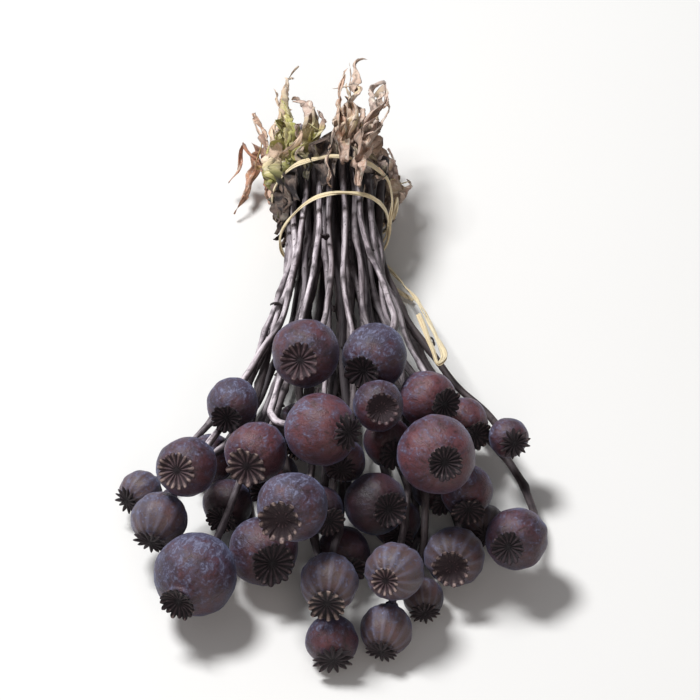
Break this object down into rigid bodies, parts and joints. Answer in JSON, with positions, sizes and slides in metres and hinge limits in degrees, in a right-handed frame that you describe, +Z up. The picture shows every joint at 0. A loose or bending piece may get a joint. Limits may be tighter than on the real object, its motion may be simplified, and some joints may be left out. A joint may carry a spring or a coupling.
{
  "type": "dried poppy seed head bunch",
  "caption": "Bunch of dried poppy seed heads on their cut stalks, tied with raffia near the foot among withered leaves, lying on its side.",
  "frame": {"origin": "on the surface that the bunch lies on, under the middle of its bounding box", "axes": "+Z up; +Y along the bunch from the seed heads to the cut ends; +X to the right of someone standing at the seed heads"},
  "size_m": [0.1636, 0.2934, 0.074],
  "materials": {
    "seed_head": "matte, dry plum-brown skin with a blue-grey waxy bloom",
    "raffia": "satin, dry pale straw strand",
    "withered_leaf": "matte, dry crumpled leaf, olive to tan and red-brown"
  },
  "bodies": {
    "root": {"stalk_01": "seed_head", "stalk_02": "seed_head", "stalk_03": "seed_head", "stalk_04": "seed_head", "stalk_05": "seed_head", "stalk_06": "seed_head", "stalk_07": "seed_head", "stalk_08": "seed_head", "stalk_09": "seed_head", "stalk_10": "seed_head", "stalk_11": "seed_head", "stalk_12": "seed_head", "stalk_13": "seed_head", "stalk_14": "seed_head", "stalk_15": "seed_head", "stalk_16": "seed_head", "stalk_17": "seed_head", "stalk_18": "seed_head", "stalk_19": "seed_head", "stalk_20": "seed_head", "stalk_21": "seed_head", "stalk_22": "seed_head", "stalk_23": "seed_head", "stalk_24": "seed_head", "stalk_25": "seed_head", "stalk_26": "seed_head", "stalk_27": "seed_head", "stalk_28": "seed_head", "stalk_29": "seed_head", "stalk_30": "seed_head", "stalk_31": "seed_head", "stalk_32": "seed_head", "stalk_33": "seed_head", "stalk_34": "seed_head", "stalk_35": "seed_head", "stalk_36": "seed_head", "raffia_tie": "raffia", "leaf_brown_right": "withered_leaf", "leaf_looped_right": "withered_leaf", "leaf_tall_right": "withered_leaf", "leaf_olive_middle": "withered_leaf", "leaf_curled_left": "withered_leaf", "leaf_olive_left": "withered_leaf", "leaf_hanging_left": "withered_leaf", "leaf_tan_left": "withered_leaf", "leaf_under_left": "withered_leaf", "leaf_under_right": "withered_leaf", "leaf_low_right": "withered_leaf", "leaf_side_right": "withered_leaf"}
  },
  "joints": []
}
